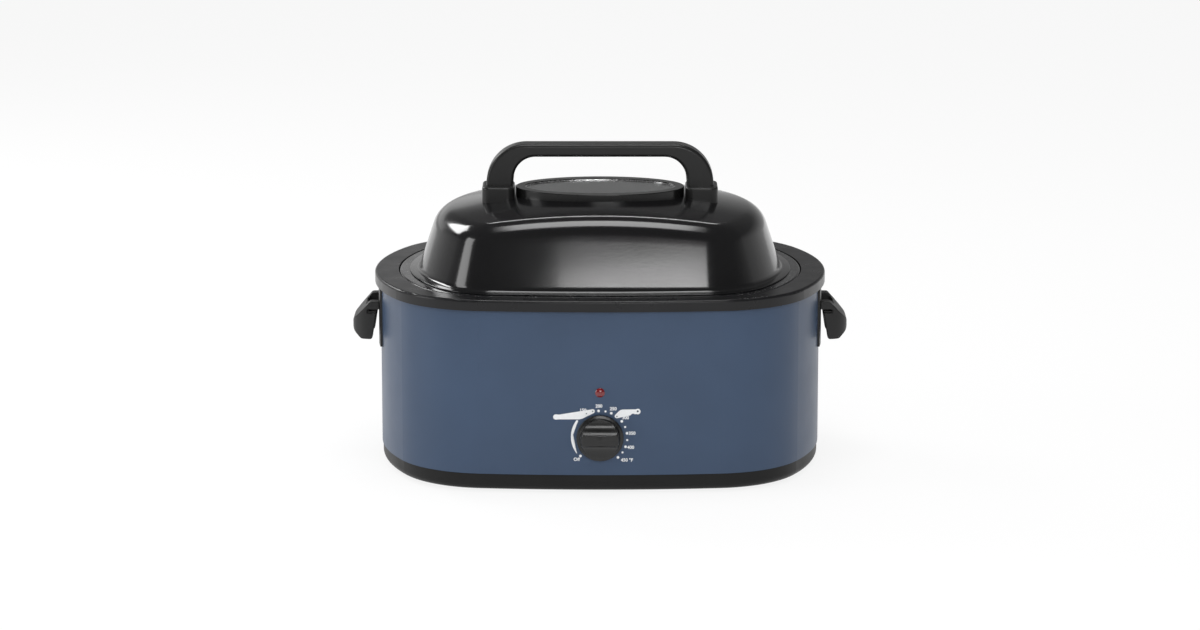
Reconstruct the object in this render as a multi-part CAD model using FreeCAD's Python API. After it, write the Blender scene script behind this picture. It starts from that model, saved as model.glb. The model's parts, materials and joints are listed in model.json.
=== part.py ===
"""Electric roaster oven: an oval countertop cooker with a lift-off domed lid, a lift-out pan and one dial.

Millimetres. Z = 0 is the table, X runs along the length and the dial is at the front, on -Y. The origin
lies on the table under the middle of the oven.
"""
import FreeCAD
import Part
import math
import os

Vec = FreeCAD.Vector
UP = Vec(0, 0, 1)
FRONT = Vec(0, -1, 0)
BACK = Vec(0, 1, 0)
RIGHT = Vec(1, 0, 0)

# Smallest length that counts, and how near a face an edge is looked for
TINY = 1e-6
NEAR = 0.01

# Outline of the rim, seen from above: two bows, two ends and four corners
RIM_LENGTH = 520.0
RIM_DEPTH = 391.6
BOW_RADIUS = 1322.0
END_RADIUS = 274.0
CORNER_RADIUS = 119.0

# General clearances
GAP_LIFT = 0.3
GAP_FIT = 0.1
GAP_SHAFT = 0.05

# Feet, base tray and shell
FOOT_HEIGHT = 3.0
FOOT_RADIUS = 11.0
FOOT_EDGE_RADIUS = 1.0
FOOT_STEM_RADIUS = 4.0
FOOT_BARB_RADIUS = 5.5
FOOT_BARB_HEIGHT = 2.0
FOOT_X = 165.0
FOOT_Y = 105.0
BASE_HEIGHT = 19.0
BASE_WALL = 2.5
BASE_EDGE_RADIUS = 8.0
BASE_SETBACK = 1.2
SHELL_HEIGHT = 188.0
SHELL_WALL = 1.0
SHELL_FLANGE = 19.0
RIM_OVERHANG = 6.4

# Rim ring and its ledge
RIM_HEIGHT = 12.6
RIM_WALL = 2.5
RIM_EDGE_RADIUS = 3.0
RIM_LAND_END = 27.4
RIM_LAND_FRONT = 19.4
RIM_STEP_WALL = 2.0
LEDGE_DROP = 6.5
LEDGE_WALL = 2.0

# Heating well
WELL_WALL = 1.0
WELL_CLEARANCE = 6.0
WELL_DEPTH = 132.0
WELL_CORNER_RADIUS = 16.0
WELL_FLANGE_SETBACK = 1.0
LEDGE_SETBACK = 3.0

# Roasting pan
PAN_WALL = 1.2
PAN_DEPTH = 126.0
PAN_CORNER_RADIUS = 24.0
PAN_TAPER = 6.0
PAN_CURL_RADIUS = 2.6
PAN_CURL_ROUNDING = 2.55
LID_LAND_END = 22.4
LID_LAND_FRONT = 17.4
LID_TO_PAN = 1.2

# Lid
LID_WALL = 1.2
LID_DRAFT_DEG = 18.5
LID_CROWN_HEIGHT = 89.6
LID_CROWN_RADIUS = 850.0
LID_SHOULDER_RADIUS = 29.0
LID_FLANGE = 10.0
CROWN_SPREAD_DEG = 24.0
CROWN_CORE_RADIUS = 510.0

# Window in the lid
WINDOW_HALF_LENGTH = 86.5
WINDOW_HALF_DEPTH = 47.0
WINDOW_RISE = 5.5
BEZEL_WIDTH_END = 10.5
BEZEL_WIDTH_FRONT = 15.0
BEZEL_WALL = 1.8
BEZEL_EDGE_RADIUS = 0.8
BEZEL_FILLET = 0.72
GLASS_THICKNESS = 4.0
GLASS_OVERLAP = 5.0
RING_THICKNESS = 0.8
RING_SHOW = 1.6
RING_GRIP = 2.5

# Handle over the lid
HANDLE_LEAN = 4.0
HANDLE_LEG_FOOT = 31.0
HANDLE_LEG_TOP = 30.0
HANDLE_BAR = 15.0
HANDLE_RISE = 55.8
HANDLE_DEPTH = 27.0
HANDLE_OUTER_RADIUS = 46.0
HANDLE_INNER_RADIUS = 25.0
HANDLE_EDGE_RADIUS = 4.0
SHOE_LENGTH = 37.0
SHOE_DEPTH = 52.0
SHOE_HEIGHT = 18.0
SHOE_OUTSET = 4.5
SHOE_TO_BEZEL = 1.5
SHOE_CORNER_RADIUS = 9.0
SHOE_EDGE_RADIUS = 2.5
SHOE_SKIRT = 26.0
HANDLE_SCREW_RADIUS = 2.5
HANDLE_SCREW_HEAD_RADIUS = 5.5
HANDLE_SCREW_HEAD = 3.0
HANDLE_SCREW_REACH = 18.0
HANDLE_WASHER_RADIUS = 8.0
HANDLE_WASHER = 1.2

# Side handles
GRIP_REACH = 32.0
GRIP_WIDTH = 68.0
GRIP_ARM = 14.0
GRIP_BAR = 16.0
GRIP_DROP = 22.0
GRIP_SLOPE = 27.0
GRIP_HEIGHT = 44.0
GRIP_ROOT = 9.0
GRIP_SLOT = 4.5
GRIP_SLOT_REACH = 12.15
GRIP_FOOT = 9.6
GRIP_HEEL_OUT = 6.75
GRIP_HEEL_IN = 1.8
GRIP_HOLE_RADIUS = 4.6
GRIP_CORNER_RADIUS = 22.0
PLATE_WALL = 2.5
PLATE_HEIGHT = 68.0
PLATE_DROP = 5.0
PLATE_WIDTH = 84.0
SIDE_SCREW_RADIUS = 2.0
SIDE_SCREW_HEAD_RADIUS = 4.0
SIDE_SCREW_HEAD = 2.5
SIDE_SCREW_REACH = 8.0

# Dial, lamp and thermostat
DIAL_HEIGHT = 43.5
KNOB_SKIRT_RADIUS = 26.4
KNOB_CAP_RADIUS = 22.7
KNOB_DEPTH = 17.0
KNOB_SKIRT = 3.6
KNOB_GAP = 1.5
KNOB_RIDGE = 7.0
KNOB_SCOOP_RADIUS = 17.0
KNOB_SCOOP_FLOOR = 7.5
KNOB_RIM_RADIUS = 1.2
KNOB_CROWN_RADIUS = 4.0
KNOB_CROWN_EDGE = 21.3
KNOB_CROWN_RISE = 14.6
KNOB_HOLLOW_RADIUS = 18.0
KNOB_HOLLOW = 4.6
SHAFT_RADIUS = 3.0
SHAFT_FLAT = 1.0
SHAFT_GRIP = 9.0
SHAFT_TAIL = 3.0
BUSHING_RADIUS = 4.8
BUSHING_REACH = 3.4
COLLAR_RADIUS = 7.2
NUT_THICKNESS = 2.6
NUT_ACROSS = 13.0
THERMOSTAT_WIDTH = 42.0
THERMOSTAT_HEIGHT = 26.0
THERMOSTAT_DEPTH = 24.0
THERMOSTAT_STANDOFF = 4.0
CLIP_WALL = 0.4
CLIP_WIDTH = 3.6
BRACKET_WALL = 1.5
BRACKET_WIDTH = 26.0
BRACKET_FOOT = 22.0
LAMP_HEIGHT = 95.0
LENS_RADIUS = 5.3
LENS_RISE = 3.2
LENS_FLANGE = 0.9
LENS_STEM_RADIUS = 4.0
LENS_STEM = 8.0
LAMP_RADIUS = 2.6
LAMP_LENGTH = 12.0
LAMP_NUT_RADIUS = 7.0
LAMP_NUT = 1.6

# Heating band, insulation and the parts under the well
BAND_WALL = 1.4
BAND_LOW = 22.0
BAND_HEIGHT = 62.0
STUD_RADIUS = 2.5
STUD_LENGTH = 9.0
STUD_SPACING = 36.0
STUD_BLOCK = 10.0
STUD_BASE = 4.0
BLANKET_LOW = 6.0
BLANKET_TOP_GAP = 8.0
BLANKET_NOTCH = 104.0
BLANKET_CLEARANCE = 7.0
POST_X = 115.0
POST_Y = 62.0
POST_RADIUS = 7.0
POST_NECK_RADIUS = 5.0
POST_BORE_RADIUS = 2.0
SHIELD_DROP = 9.0
SHIELD_WALL = 1.0
SHIELD_INSET = 62.0
TIE_HEAD_RADIUS = 4.5
TIE_HEAD = 1.8
TIE_REACH = 12.0
BOSS_RADIUS = 5.0
BOSS_X = 105.0
BOSS_INSET = 13.0
BASE_SCREW_RADIUS = 1.6
BASE_SCREW_HEAD_RADIUS = 3.2
BASE_SCREW_HEAD = 2.0
BASE_SCREW_SINK = 5.0
SLOT_LENGTH = 40.0
SLOT_WIDTH = 4.0
SLOT_PITCH = 12.0
SLOT_COUNT = 5

# Cord gland, terminal block and inner wiring
GLAND_HEIGHT = 30.0
GLAND_BORE_RADIUS = 4.0
GLAND_BODY_RADIUS = 8.0
GLAND_HEX_ACROSS = 20.0
GLAND_FLANGE = 4.0
GLAND_REACH = 15.0
GLAND_INSIDE = 12.0
GLAND_NUT = 4.0
GLAND_NOSE_WALL = 1.5
BLOCK_LENGTH = 46.0
BLOCK_DEPTH = 18.0
BLOCK_HEIGHT = 15.0
BLOCK_FROM_WALL = 38.0
BLOCK_SCREW_RADIUS = 2.2
BLOCK_SCREW_DEPTH = 1.6
BLOCK_SCREWS = 3
WIRE_RADIUS = 1.3
WIRE_SPREAD = 12.0
WIRE_ENTRY_LOW = 4.0
WIRE_ENTRY_HIGH = 12.0
WIRE_ASIDE = 18.0
WIRE_RUN = 36.0
WIRE_SLANT = 63.0
WIRE_RISE = 21.6
WIRE_CLIMB = 40.5
WIRE_BEND_LOW = 7.2
WIRE_BEND_HIGH = 5.4

# Rack in the pan
RACK_WIRE_RADIUS = 2.5
RACK_BAR_RADIUS = 1.6
RACK_LEG_RADIUS = 2.2
RACK_INSET = 34.0
RACK_LEG = 12.0
RACK_LEG_X = 110.0
RACK_BAR_PITCH = 24.0
RACK_LIFT_HEIGHT = 46.0
RACK_LIFT_WIDTH = 84.0
RACK_LIFT_BEND = 9.0

# Heights and places that follow from the sizes above
BASE_LOW = FOOT_HEIGHT
BASE_FLOOR = BASE_LOW + BASE_WALL
SHELL_LOW = BASE_LOW + BASE_HEIGHT
RIM_LOW = SHELL_LOW + SHELL_HEIGHT
RIM_TOP = RIM_LOW + RIM_HEIGHT
LEDGE_TOP = RIM_TOP - LEDGE_DROP
WELL_TOP = LEDGE_TOP + WELL_WALL
WELL_FLOOR = WELL_TOP - WELL_DEPTH
PAN_CURL_LOW = WELL_TOP + GAP_LIFT
PAN_TOP = PAN_CURL_LOW + 2 * PAN_CURL_RADIUS
PAN_FLOOR = PAN_TOP - PAN_DEPTH
LID_LOW = PAN_TOP + GAP_LIFT
CROWN_TOP = LID_LOW + LID_CROWN_HEIGHT
BEZEL_TOP = CROWN_TOP + WINDOW_RISE
HANDLE_TOP = CROWN_TOP + HANDLE_RISE
DIAL_Z = SHELL_LOW + DIAL_HEIGHT
LAMP_Z = SHELL_LOW + LAMP_HEIGHT
STUD_Z = WELL_FLOOR + BAND_LOW + STUD_BLOCK
GLAND_Z = SHELL_LOW + GLAND_HEIGHT
RACK_Z = PAN_FLOOR + PAN_WALL + GAP_LIFT + RACK_LEG
SHOE_INNER = WINDOW_HALF_LENGTH + BEZEL_WIDTH_END + SHOE_TO_BEZEL
HANDLE_FOOT = SHOE_INNER + SHOE_LENGTH - SHOE_OUTSET
HANDLE_SHOULDER = HANDLE_FOOT - HANDLE_LEAN


class Oval:
    """An oval of tangent arcs: a front and a back bow, two ends and four corners between them."""

    def __init__(self, half_length, half_depth, bow, end, corner):
        self.half_length = half_length
        self.half_depth = half_depth
        self.bow = bow
        self.end = end
        self.corner = corner

    def shrunk(self, at_end, at_front):
        """The oval drawn in by one amount at its ends and another at its front and back."""
        corner = self.corner - (at_end + at_front) / 2
        return Oval(self.half_length - at_end, self.half_depth - at_front,
                    self.bow - at_front, self.end - at_end, corner)

    def inset(self, distance):
        """The parallel oval inside this one, or outside it for a negative distance."""
        return self.shrunk(distance, distance)

    def corner_centre(self):
        """Centre of the corner arc in the first quadrant, where it touches both the bow and the end."""
        bow_centre = Vec(0, self.half_depth - self.bow, 0)
        end_centre = Vec(self.half_length - self.end, 0, 0)
        from_bow = self.bow - self.corner
        from_end = self.end - self.corner
        between = end_centre - bow_centre
        apart = between.Length
        along = (from_bow ** 2 - from_end ** 2 + apart ** 2) / (2 * apart)
        across = math.sqrt(from_bow ** 2 - along ** 2)
        forward = Vec(between).normalize()
        sideways = Vec(forward.y, -forward.x, 0)
        return bow_centre + forward * along + sideways * across

    def arcs(self):
        """Every arc, anticlockwise from the +X end, as centre, radius, first angle and last angle."""
        c = self.corner_centre()
        end_x = self.half_length - self.end
        bow_y = self.half_depth - self.bow
        low = math.atan2(c.y, c.x - end_x)
        high = math.atan2(c.y - bow_y, c.x)
        half_turn = math.pi
        return [
            (Vec(end_x, 0, 0), self.end, -low, low),
            (Vec(c.x, c.y, 0), self.corner, low, high),
            (Vec(0, bow_y, 0), self.bow, high, half_turn - high),
            (Vec(-c.x, c.y, 0), self.corner, half_turn - high, half_turn - low),
            (Vec(-end_x, 0, 0), self.end, half_turn - low, half_turn + low),
            (Vec(-c.x, -c.y, 0), self.corner, half_turn + low, half_turn + high),
            (Vec(0, -bow_y, 0), self.bow, half_turn + high, 2 * half_turn - high),
            (Vec(c.x, -c.y, 0), self.corner, 2 * half_turn - high, 2 * half_turn - low),
        ]

    def wire(self, z):
        """The outline at a height."""
        edges = []
        for centre, radius, first, last in self.arcs():
            points = []
            for angle in (first, (first + last) / 2, last):
                points.append(centre + Vec(radius * math.cos(angle), radius * math.sin(angle), z))
            edges.append(Part.Arc(*points).toShape())
        return Part.Wire(edges)

    def prism(self, low, high):
        """The solid inside the outline between two heights."""
        return Part.Face(self.wire(low)).extrude(UP * (high - low))

    def bow_y(self, x):
        """Distance of the back bow from the middle, at a place along the length."""
        return self.half_depth - self.bow + math.sqrt(self.bow ** 2 - x ** 2)

    def ring(self, profile):
        """A wall that follows the outline. The profile's corners are (inset, height, rounding)."""
        section = Part.Face(rounded_loop(profile, lambda inset, z: Vec(-inset, 0, z)))
        pieces = []
        for centre, radius, first, last in self.arcs():
            piece = section.translated(Vec(radius, 0, 0))
            piece.rotate(Vec(0, 0, 0), UP, math.degrees(first))
            piece.translate(centre)
            pieces.append(piece.revolve(centre, UP, math.degrees(last - first)))
        return pieces[0].multiFuse(pieces[1:]).removeSplitter()


def rounded_loop(corners, place):
    """A closed wire through (u, v, rounding) corners, put in space by a function of u and v."""
    count = len(corners)
    joints = []
    for i in range(count):
        u, v, rounding = corners[i]
        here = Vec(u, v, 0)
        back = Vec(corners[i - 1][0], corners[i - 1][1], 0) - here
        ahead = Vec(corners[(i + 1) % count][0], corners[(i + 1) % count][1], 0) - here
        back.normalize()
        ahead.normalize()
        half = math.acos(max(-1.0, min(1.0, back.dot(ahead)))) / 2
        if rounding <= 0 or half > math.pi / 2 - TINY:
            joints.append((here, None, here))
            continue
        reach = rounding / math.tan(half)
        middle = here + (back + ahead).normalize() * (rounding / math.sin(half) - rounding)
        joints.append((here + back * reach, middle, here + ahead * reach))
    edges = []
    for i in range(count):
        start, middle, stop = joints[i]
        following = joints[(i + 1) % count][0]
        if middle is not None:
            bend = [place(p.x, p.y) for p in (start, middle, stop)]
            edges.append(Part.Arc(*bend).toShape())
        if (following - stop).Length > TINY:
            edges.append(Part.makeLine(place(stop.x, stop.y), place(following.x, following.y)))
    return Part.Wire(edges)


def cylinder(radius, start, stop):
    """A round bar between two points."""
    along = stop - start
    return Part.makeCylinder(radius, along.Length, start, along)


def block(size_x, size_y, size_z, centre):
    """A rectangular block about its centre."""
    return Part.makeBox(size_x, size_y, size_z, centre - Vec(size_x, size_y, size_z) / 2)


def hexagon(across, start, stop):
    """A hexagonal bar between two points, with its size given across the flats."""
    along = stop - start
    corner_radius = across / math.sqrt(3)
    points = []
    for k in range(7):
        angle = k * math.pi / 3
        points.append(Vec(corner_radius * math.cos(angle), corner_radius * math.sin(angle), 0))
    bar = Part.Face(Part.makePolygon(points)).extrude(UP * along.Length)
    bar.Placement = FreeCAD.Placement(start, FreeCAD.Rotation(UP, along))
    return bar


def ellipse_prism(half_length, half_depth, low, high):
    """An elliptical column between two heights."""
    outline = Part.Ellipse(Vec(0, 0, low), half_length, half_depth).toShape()
    return Part.Face(Part.Wire(outline)).extrude(UP * (high - low))


def tube(points, radius, bend):
    """A round wire along straight runs joined by tangent arcs."""
    edges = []
    last = points[0]
    for i in range(1, len(points) - 1):
        here = points[i]
        back = (points[i - 1] - here).normalize()
        ahead = (points[i + 1] - here).normalize()
        half = back.getAngle(ahead) / 2
        reach = bend / math.tan(half)
        middle = here + (back + ahead).normalize() * (bend / math.sin(half) - bend)
        edges.append(Part.makeLine(last, here + back * reach))
        edges.append(Part.Arc(here + back * reach, middle, here + ahead * reach).toShape())
        last = here + ahead * reach
    edges.append(Part.makeLine(last, points[-1]))
    section = Part.Wire(Part.makeCircle(radius, points[0], points[1] - points[0]))
    return Part.Wire(edges).makePipeShell([section], True, False)


def round_edges(shape, radius, chosen):
    """The shape with a fillet on each edge that the test picks."""
    edges = [edge for edge in shape.Edges if chosen(edge)]
    return shape.makeFillet(radius, edges)


def middle_of(edge):
    """A point half way along an edge."""
    return edge.valueAt((edge.FirstParameter + edge.LastParameter) / 2)


def mirrored(shape):
    """The same piece on the other side of the oven."""
    return shape.mirror(Vec(0, 0, 0), RIGHT)


def four_places(x, y):
    """The four places at plus and minus x and y."""
    return [Vec(sx * x, sy * y, 0) for sx in (-1, 1) for sy in (-1, 1)]


# Outlines that the pieces share
RIM = Oval(RIM_LENGTH / 2, RIM_DEPTH / 2, BOW_RADIUS, END_RADIUS, CORNER_RADIUS)
SHELL = RIM.inset(RIM_OVERHANG)
BASE = SHELL.inset(BASE_SETBACK)
OPENING = RIM.shrunk(RIM_LAND_END, RIM_LAND_FRONT)
PAN = OPENING.inset(GAP_LIFT * 2)
LID = PAN.shrunk(LID_LAND_END, LID_LAND_FRONT)
PAN_INSIDE = LID.inset(-LID_TO_PAN)
WELL = PAN_INSIDE.inset(-PAN_WALL - WELL_CLEARANCE)
SHELL_FRONT = -SHELL.half_depth
SHELL_INNER_FRONT = SHELL_FRONT + SHELL_WALL


def base_tray():
    wall = BASE.ring([
        (0, SHELL_LOW, 0),
        (0, BASE_LOW, BASE_EDGE_RADIUS),
        (2 * BASE_EDGE_RADIUS, BASE_LOW, 0),
        (2 * BASE_EDGE_RADIUS, BASE_FLOOR, 0),
        (BASE_WALL, BASE_FLOOR, BASE_EDGE_RADIUS - BASE_WALL),
        (BASE_WALL, SHELL_LOW, 0),
    ])
    tray = wall.fuse(BASE.inset(2 * BASE_EDGE_RADIUS).prism(BASE_LOW, BASE_FLOOR))
    for place in base_screw_places():
        tray = tray.fuse(cylinder(BOSS_RADIUS, place + UP * BASE_FLOOR, place + UP * SHELL_LOW))
    for place in base_screw_places():
        sunk = place + UP * (BASE_LOW + BASE_SCREW_SINK)
        tray = tray.cut(cylinder(BASE_SCREW_HEAD_RADIUS + GAP_FIT, place, sunk))
        tray = tray.cut(cylinder(BASE_SCREW_RADIUS + GAP_FIT, place, place + UP * SHELL_LOW))
    for place in four_places(FOOT_X, FOOT_Y):
        tray = tray.cut(cylinder(FOOT_STEM_RADIUS, place, place + UP * SHELL_LOW))
    for place in four_places(POST_X, POST_Y):
        tray = tray.cut(cylinder(POST_BORE_RADIUS + GAP_FIT, place, place + UP * SHELL_LOW))
    for k in range(SLOT_COUNT):
        y = (k - (SLOT_COUNT - 1) / 2) * SLOT_PITCH
        tray = tray.cut(block(SLOT_LENGTH, SLOT_WIDTH, 2 * SHELL_LOW, Vec(0, y, 0)))
    return tray.removeSplitter()


def base_screw_places():
    line = SHELL.inset(BOSS_INSET)
    return four_places(BOSS_X, line.bow_y(BOSS_X))


def feet():
    pads = []
    for place in four_places(FOOT_X, FOOT_Y):
        pad = cylinder(FOOT_RADIUS, place, place + UP * FOOT_HEIGHT)
        low = FOOT_HEIGHT / 2
        pad = round_edges(pad, FOOT_EDGE_RADIUS, lambda edge: middle_of(edge).z < low and edge.Closed)
        stem = cylinder(FOOT_STEM_RADIUS, place + UP * BASE_LOW, place + UP * BASE_FLOOR)
        floor = place + UP * BASE_FLOOR
        barb = Part.makeCone(FOOT_BARB_RADIUS, FOOT_STEM_RADIUS, FOOT_BARB_HEIGHT, floor, UP)
        pads.append(pad.fuse([stem, barb]))
    return Part.makeCompound(pads)


def base_screws():
    screws = []
    sunk = BASE_LOW + BASE_SCREW_SINK
    for place in base_screw_places():
        head = cylinder(BASE_SCREW_HEAD_RADIUS, place + UP * (sunk - BASE_SCREW_HEAD), place + UP * sunk)
        shank = cylinder(BASE_SCREW_RADIUS, place + UP * sunk, place + UP * (SHELL_LOW + 2 * SHELL_WALL))
        screws.append(head.fuse(shank))
    return Part.makeCompound(screws)


def outer_shell():
    top = RIM_TOP - RIM_WALL
    shell = SHELL.ring([
        (0, SHELL_LOW, 0),
        (SHELL_FLANGE, SHELL_LOW, 0),
        (SHELL_FLANGE, SHELL_LOW + SHELL_WALL, 0),
        (SHELL_WALL, SHELL_LOW + SHELL_WALL, 0),
        (SHELL_WALL, top, 0),
        (0, top, 0),
    ])
    through = Vec(0, 4 * SHELL_FLANGE, 0)
    for place in base_screw_places():
        shell = shell.cut(cylinder(BASE_SCREW_RADIUS, place, place + UP * (2 * SHELL_LOW)))
    for radius, z in ((BUSHING_RADIUS + GAP_FIT, DIAL_Z), (LENS_STEM_RADIUS + GAP_FIT, LAMP_Z)):
        centre = Vec(0, SHELL_FRONT, z)
        shell = shell.cut(cylinder(radius, centre - through, centre + through))
    centre = Vec(0, -SHELL_FRONT, GLAND_Z)
    shell = shell.cut(cylinder(GLAND_BODY_RADIUS + GAP_FIT, centre - through, centre + through))
    for screw_y, screw_z in side_screw_places():
        across = RIGHT * RIM_LENGTH
        middle = Vec(0, screw_y, screw_z)
        shell = shell.cut(cylinder(SIDE_SCREW_RADIUS + GAP_FIT, middle - across, middle + across))
    return shell


def top_rim():
    cap = RIM.ring([
        (0, RIM_LOW, 0),
        (0, RIM_TOP, RIM_EDGE_RADIUS),
        (4 * RIM_EDGE_RADIUS, RIM_TOP, 0),
        (4 * RIM_EDGE_RADIUS, RIM_TOP - RIM_WALL, 0),
        (RIM_OVERHANG - GAP_FIT, RIM_TOP - RIM_WALL, 0),
        (RIM_OVERHANG - GAP_FIT, RIM_LOW, 0),
    ])
    land = RIM.inset(4 * RIM_EDGE_RADIUS).prism(RIM_TOP - RIM_WALL, RIM_TOP)
    land = land.cut(OPENING.prism(0, 2 * RIM_TOP))
    step = OPENING.ring([
        (0, RIM_TOP, 0),
        (0, LEDGE_TOP, 0),
        (0, LEDGE_TOP - LEDGE_WALL, 0),
        (-RIM_STEP_WALL, LEDGE_TOP - LEDGE_WALL, 0),
        (-RIM_STEP_WALL, RIM_TOP, 0),
    ])
    mouth = WELL.inset(-WELL_WALL - LEDGE_SETBACK).prism(0, 2 * RIM_TOP)
    ledge = OPENING.prism(LEDGE_TOP - LEDGE_WALL, LEDGE_TOP).cut(mouth)
    return cap.fuse([land, step, ledge]).removeSplitter()


def heating_well():
    wall = WELL.ring([
        (0, WELL_TOP, 0),
        (0, WELL_FLOOR, WELL_CORNER_RADIUS),
        (2 * WELL_CORNER_RADIUS, WELL_FLOOR, 0),
        (2 * WELL_CORNER_RADIUS, WELL_FLOOR - WELL_WALL, 0),
        (-WELL_WALL, WELL_FLOOR - WELL_WALL, WELL_CORNER_RADIUS + WELL_WALL),
        (-WELL_WALL, WELL_TOP, 0),
    ])
    floor = WELL.inset(2 * WELL_CORNER_RADIUS).prism(WELL_FLOOR - WELL_WALL, WELL_FLOOR)
    flange = OPENING.inset(WELL_FLANGE_SETBACK).prism(LEDGE_TOP, WELL_TOP)
    flange = flange.cut(WELL.inset(-WELL_WALL).prism(0, 2 * WELL_TOP))
    well = wall.fuse([floor, flange])
    for place in four_places(POST_X, POST_Y):
        well = well.cut(cylinder(POST_BORE_RADIUS + GAP_FIT, place, place + UP * WELL_TOP))
    return well.removeSplitter()


def heating_band():
    low = WELL_FLOOR + BAND_LOW
    out = -WELL_WALL - GAP_FIT
    return WELL.ring([
        (out, low, 0),
        (out, low + BAND_HEIGHT, 0),
        (out - BAND_WALL, low + BAND_HEIGHT, 0),
        (out - BAND_WALL, low, 0),
    ])


def band_terminals():
    """Two studs on ceramic blocks, on the front of the band."""
    face = WELL.inset(-WELL_WALL - GAP_FIT - BAND_WALL)
    z = STUD_Z
    solids = []
    for side in (-1, 1):
        x = side * STUD_SPACING / 2
        y = -face.bow_y(x - side * STUD_BLOCK / 2)
        corner = Vec(x - STUD_BLOCK / 2, y - STUD_BASE, z - STUD_BLOCK / 2)
        body = Part.makeBox(STUD_BLOCK, STUD_BASE, STUD_BLOCK, corner)
        stud = cylinder(STUD_RADIUS, Vec(x, y - STUD_BASE, z), Vec(x, y - STUD_BASE - STUD_LENGTH, z))
        solids.append(body.fuse(stud))
    return Part.makeCompound(solids)


def insulation_blanket():
    low = WELL_FLOOR + BLANKET_LOW
    high = LEDGE_TOP - LEDGE_WALL - BLANKET_TOP_GAP
    outer = SHELL.inset(SHELL_WALL + SIDE_SCREW_HEAD + 4 * GAP_LIFT).prism(low, high)
    inner = WELL.inset(-WELL_WALL - 2 * GAP_FIT - BAND_WALL).prism(0, 2 * high)
    highest = max(LAMP_Z + LAMP_NUT_RADIUS, STUD_Z + STUD_BLOCK / 2)
    notch_height = highest + BLANKET_CLEARANCE - low
    notch = block(BLANKET_NOTCH, RIM_DEPTH, 2 * notch_height, Vec(0, -RIM_DEPTH / 2, low))
    return outer.cut(inner).cut(notch)


def support_posts():
    top = WELL_FLOOR - WELL_WALL
    neck = top - SHIELD_DROP
    posts = []
    for place in four_places(POST_X, POST_Y):
        post = cylinder(POST_RADIUS, place + UP * BASE_FLOOR, place + UP * neck)
        post = post.fuse(cylinder(POST_NECK_RADIUS, place + UP * neck, place + UP * top))
        posts.append(post.cut(cylinder(POST_BORE_RADIUS, place, place + UP * WELL_TOP)))
    return Part.makeCompound(posts)


def heat_shield():
    low = WELL_FLOOR - WELL_WALL - SHIELD_DROP
    shield = WELL.inset(SHIELD_INSET).ring([
        (0, low - SHIELD_DROP / 2, 0),
        (0, low + SHIELD_WALL, 0),
        (2 * SHIELD_DROP, low + SHIELD_WALL, 0),
        (2 * SHIELD_DROP, low, 0),
        (SHIELD_WALL, low, 0),
        (SHIELD_WALL, low - SHIELD_DROP / 2, 0),
    ])
    shield = shield.fuse(WELL.inset(SHIELD_INSET + 2 * SHIELD_DROP).prism(low, low + SHIELD_WALL))
    for place in four_places(POST_X, POST_Y):
        shield = shield.cut(cylinder(POST_NECK_RADIUS + GAP_FIT, place, place + UP * WELL_TOP))
    return shield.removeSplitter()


def tie_screws():
    """Screws into both ends of each post, from under the base and from inside the well."""
    screws = []
    for place in four_places(POST_X, POST_Y):
        low = place + UP * BASE_LOW
        high = place + UP * WELL_FLOOR
        head = cylinder(TIE_HEAD_RADIUS, low - UP * TIE_HEAD, low)
        screws.append(head.fuse(cylinder(POST_BORE_RADIUS, low, low + UP * TIE_REACH)))
        head = cylinder(TIE_HEAD_RADIUS, high, high + UP * TIE_HEAD)
        screws.append(head.fuse(cylinder(POST_BORE_RADIUS, high - UP * TIE_REACH, high)))
    return Part.makeCompound(screws)


def roasting_pan():
    inner_top = PAN_TOP - PAN_WALL
    wall = PAN_INSIDE.ring([
        (0, PAN_TOP, 0),
        (PAN_TAPER, PAN_FLOOR + PAN_WALL, PAN_CORNER_RADIUS),
        (2 * PAN_CORNER_RADIUS, PAN_FLOOR + PAN_WALL, 0),
        (2 * PAN_CORNER_RADIUS, PAN_FLOOR, 0),
        (PAN_TAPER - PAN_WALL, PAN_FLOOR, PAN_CORNER_RADIUS + PAN_WALL),
        (-PAN_WALL, PAN_TOP, 0),
    ])
    floor = PAN_INSIDE.inset(2 * PAN_CORNER_RADIUS).prism(PAN_FLOOR, PAN_FLOOR + PAN_WALL)
    curl = PAN.ring([
        (2 * PAN_CURL_RADIUS, PAN_TOP, 0),
        (0, PAN_TOP, PAN_CURL_ROUNDING),
        (0, PAN_CURL_LOW, PAN_CURL_ROUNDING),
        (2 * PAN_CURL_RADIUS - PAN_WALL, PAN_CURL_LOW, 0),
        (2 * PAN_CURL_RADIUS - PAN_WALL, inner_top, 0),
        (2 * PAN_CURL_RADIUS, inner_top, 0),
    ])
    land = PAN.inset(2 * PAN_CURL_RADIUS).prism(inner_top, PAN_TOP).cut(PAN_INSIDE.prism(0, 2 * PAN_TOP))
    return wall.fuse([floor, land, curl]).removeSplitter()


def rack_outline():
    return PAN_INSIDE.inset(RACK_INSET)


def rack_hoop():
    """The rack's outer wire, a closed hoop."""
    pieces = []
    for centre, radius, first, last in rack_outline().arcs():
        section = Part.Face(Part.Wire(Part.makeCircle(RACK_WIRE_RADIUS, Vec(radius, 0, RACK_Z), BACK)))
        section.rotate(Vec(0, 0, 0), UP, math.degrees(first))
        section.translate(centre)
        pieces.append(section.revolve(centre, UP, math.degrees(last - first)))
    return pieces[0].multiFuse(pieces[1:])


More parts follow.
